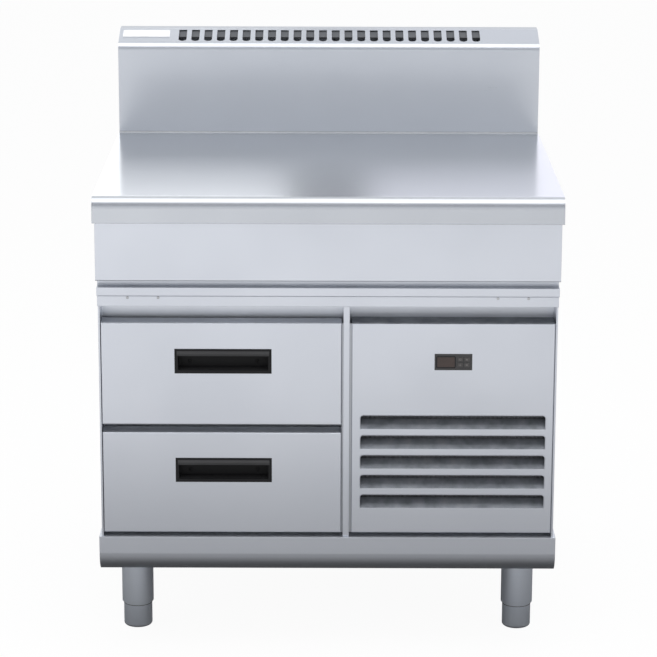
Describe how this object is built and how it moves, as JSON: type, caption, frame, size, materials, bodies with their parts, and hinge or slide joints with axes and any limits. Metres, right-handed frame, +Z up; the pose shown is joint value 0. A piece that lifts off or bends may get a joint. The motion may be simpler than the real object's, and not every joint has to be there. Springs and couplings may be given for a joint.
{
  "type": "refrigerated base",
  "caption": "Free-standing stainless refrigerated base with side-by-side chilled drawers and machine bay, under a worktop with a slotted splashback.",
  "frame": {"origin": "on the floor, under the middle of the worktop's footprint", "axes": "+X to the right as seen from the front, +Y to the back, +Z up"},
  "size_m": [0.9, 0.805, 1.13],
  "materials": {
    "stainless_panel": "satin",
    "stainless_worktop": "satin",
    "stainless_inner": "satin",
    "stainless_leg": "satin",
    "stainless_screw": "satin",
    "zinc_sheet": "satin",
    "blank_plate": "satin",
    "black_grip": "satin",
    "foam_core": "matte",
    "drawer_core": "satin",
    "seal_rubber": "matte",
    "controller_case": "satin",
    "display_window": "gloss",
    "key_cap": "satin",
    "aluminium_fins": "satin",
    "fan_plastic": "satin",
    "motor_paint": "satin",
    "compressor_paint": "gloss",
    "pipe_copper": "satin",
    "box_plastic": "satin"
  },
  "bodies": {
    "root": {"worktop": "stainless_worktop", "front_apron": "stainless_panel", "rear_apron": "stainless_panel", "left_apron": "stainless_panel", "right_apron": "stainless_panel", "worktop_stiffeners": "zinc_sheet", "splashback": "stainless_panel", "splashback_back_cover": "stainless_panel", "blank_badge": "blank_plate", "carrier_frame": "stainless_panel", "cabinet_lid": "stainless_panel", "rail_screws": "stainless_screw", "left_side_panel": "stainless_panel", "right_side_panel": "stainless_panel", "rear_panel": "zinc_sheet", "base_plinth": "stainless_panel", "mullion_post": "stainless_panel", "drawer_frame": "stainless_inner", "cold_liner": "stainless_inner", "insulation": "foam_core", "leg_tubes": "stainless_leg", "slide_outer_channels": "stainless_inner", "service_panel": "stainless_panel", "controller_housing": "controller_case", "controller_window": "display_window", "evaporator_cover": "stainless_inner", "evaporator_coil": "aluminium_fins", "evaporator_motor": "motor_paint", "drip_tray": "stainless_inner", "unit_tray": "zinc_sheet", "condenser_coil": "aluminium_fins", "condenser_shroud": "motor_paint", "condenser_fan_motor": "motor_paint", "compressor": "compressor_paint", "electrical_box": "box_plastic", "refrigerant_pipes": "pipe_copper"},
    "upper_drawer": {"upper_drawer_front": "stainless_panel", "upper_drawer_core": "drawer_core", "upper_drawer_handle": "black_grip", "upper_drawer_gasket": "seal_rubber", "upper_drawer_tray": "stainless_inner", "upper_slide_inner_channels": "stainless_inner"},
    "upper_slide_middle": {"upper_slide_middle_channels": "stainless_inner"},
    "lower_drawer": {"lower_drawer_front": "stainless_panel", "lower_drawer_core": "drawer_core", "lower_drawer_handle": "black_grip", "lower_drawer_gasket": "seal_rubber", "lower_drawer_tray": "stainless_inner", "lower_slide_inner_channels": "stainless_inner"},
    "lower_slide_middle": {"lower_slide_middle_channels": "stainless_inner"},
    "condenser_fan": {"condenser_fan": "fan_plastic"},
    "evaporator_fan": {"evaporator_fan": "fan_plastic"},
    "set_key": {"set_key": "key_cap"},
    "up_key": {"up_key": "key_cap"},
    "defrost_key": {"defrost_key": "key_cap"},
    "down_key": {"down_key": "key_cap"},
    "front_left_foot": {"front_left_foot": "stainless_leg"},
    "front_right_foot": {"front_right_foot": "stainless_leg"},
    "rear_left_foot": {"rear_left_foot": "stainless_leg"},
    "rear_right_foot": {"rear_right_foot": "stainless_leg"}
  },
  "joints": [
    {"name": "upper_drawer_slide", "type": "slide", "parent": "root", "child": "upper_drawer", "axis": [0, -1, 0], "range_m": [0, 0.46]},
    {"name": "upper_slide_extension", "type": "slide", "parent": "root", "child": "upper_slide_middle", "axis": [0, -1, 0], "range_m": [0, 0.23]},
    {"name": "lower_drawer_slide", "type": "slide", "parent": "root", "child": "lower_drawer", "axis": [0, -1, 0], "range_m": [0, 0.46]},
    {"name": "lower_slide_extension", "type": "slide", "parent": "root", "child": "lower_slide_middle", "axis": [0, -1, 0], "range_m": [0, 0.23]},
    {"name": "condenser_fan_spin", "type": "hinge", "parent": "root", "child": "condenser_fan", "pos_m": [0.24225, -0.2265, 0.2757], "axis": [0, 1, 0], "continuous": true},
    {"name": "evaporator_fan_spin", "type": "hinge", "parent": "root", "child": "evaporator_fan", "pos_m": [-0.20465, 0.2247, 0.503], "axis": [0, 1, 0], "continuous": true},
    {"name": "set_key_press", "type": "slide", "parent": "root", "child": "set_key", "axis": [0, 1, 0], "range_m": [0, 0.0008], "stiffness_N_per_m": 900},
    {"name": "up_key_press", "type": "slide", "parent": "root", "child": "up_key", "axis": [0, 1, 0], "range_m": [0, 0.0008], "stiffness_N_per_m": 900},
    {"name": "defrost_key_press", "type": "slide", "parent": "root", "child": "defrost_key", "axis": [0, 1, 0], "range_m": [0, 0.0008], "stiffness_N_per_m": 900},
    {"name": "down_key_press", "type": "slide", "parent": "root", "child": "down_key", "axis": [0, 1, 0], "range_m": [0, 0.0008], "stiffness_N_per_m": 900},
    {"name": "front_left_foot_level", "type": "slide", "parent": "root", "child": "front_left_foot", "axis": [0, 0, -1], "range_m": [-0.01, 0.035]},
    {"name": "front_right_foot_level", "type": "slide", "parent": "root", "child": "front_right_foot", "axis": [0, 0, -1], "range_m": [-0.01, 0.035]},
    {"name": "rear_left_foot_level", "type": "slide", "parent": "root", "child": "rear_left_foot", "axis": [0, 0, -1], "range_m": [-0.01, 0.035]},
    {"name": "rear_right_foot_level", "type": "slide", "parent": "root", "child": "rear_right_foot", "axis": [0, 0, -1], "range_m": [-0.01, 0.035]}
  ],
  "couplings": [
    {"joint": "upper_slide_extension", "follows": "upper_drawer_slide", "ratio": 0.5},
    {"joint": "lower_slide_extension", "follows": "lower_drawer_slide", "ratio": 0.5}
  ]
}
